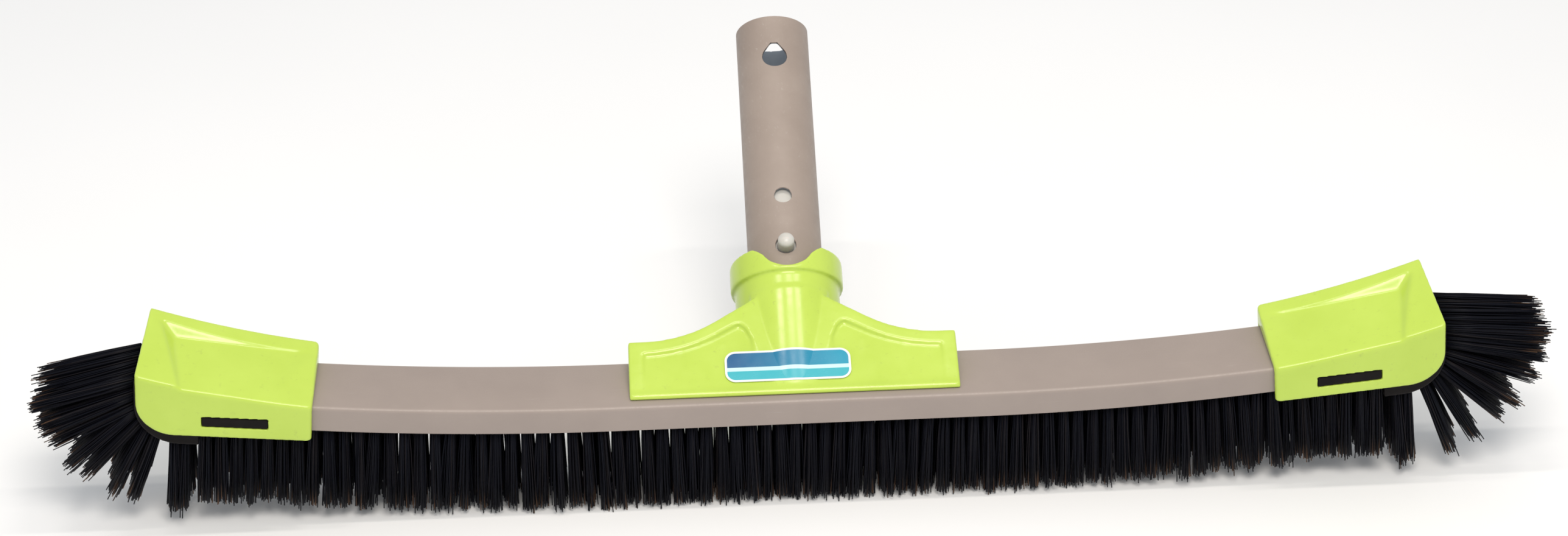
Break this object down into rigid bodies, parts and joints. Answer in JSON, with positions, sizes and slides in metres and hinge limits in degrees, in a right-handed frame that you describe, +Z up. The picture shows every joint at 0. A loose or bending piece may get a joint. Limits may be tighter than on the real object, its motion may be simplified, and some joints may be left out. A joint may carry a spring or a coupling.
{
  "type": "pool wall brush",
  "caption": "Curved pool wall brush with straight and fanned bristles, moulded end caps, a sloping yoke and a tilted handle tube with sprung snap buttons.",
  "frame": {"origin": "on the surface that the bristle tips rest on, under the middle of the whole brush's length and depth", "axes": "+X along the brush to its right end, +Y from the bristle block's front face towards the handle, +Z up away from the bristle tips"},
  "size_m": [0.5572, 0.168, 0.1262],
  "materials": {
    "lime_plastic": "glossy injection-moulded lime plastic",
    "back_paint": "satin taupe coating on bent aluminium channel",
    "tube_plastic": "matt taupe plastic with light scuffs",
    "bristle": "stiff black filaments with ragged tips",
    "block_plastic": "dark brown moulded plastic",
    "clip_plastic": "smooth off-white acetal",
    "badge_film": "glossy printed film with a plain two-tone pattern",
    "screw_steel": "zinc-plated steel"
  },
  "bodies": {
    "root": {"back_channel": "back_paint", "bristle_strip": "block_plastic", "end_block_left": "block_plastic", "end_block_right": "block_plastic", "cap_left": "lime_plastic", "cap_right": "lime_plastic", "yoke": "lime_plastic", "badge": "badge_film", "handle_tube": "tube_plastic", "clip_bow": "clip_plastic", "yoke_screws": "screw_steel", "tube_screws": "screw_steel", "bristle_row_1": "bristle", "bristle_row_2": "bristle", "bristle_row_3": "bristle", "bristle_row_4": "bristle", "bristle_row_5": "bristle", "bristle_fan_left": "bristle", "bristle_fan_right": "bristle"},
    "front_button": {"front_button_arm": "clip_plastic"},
    "rear_button": {"rear_button_arm": "clip_plastic"}
  },
  "joints": [
    {"name": "front_button_press", "type": "hinge", "parent": "root", "child": "front_button", "pos_m": [0, 0.02515, 0.09655], "axis": [1, 0, 0], "range_deg": [0, 6.4], "stiffness_Nm_per_rad": 4.4, "springref_deg": -1.72},
    {"name": "rear_button_press", "type": "hinge", "parent": "root", "child": "rear_button", "pos_m": [0, 0.036, 0.07775], "axis": [-1, 0, 0], "range_deg": [0, 6.4], "stiffness_Nm_per_rad": 4.4, "springref_deg": -1.72}
  ]
}
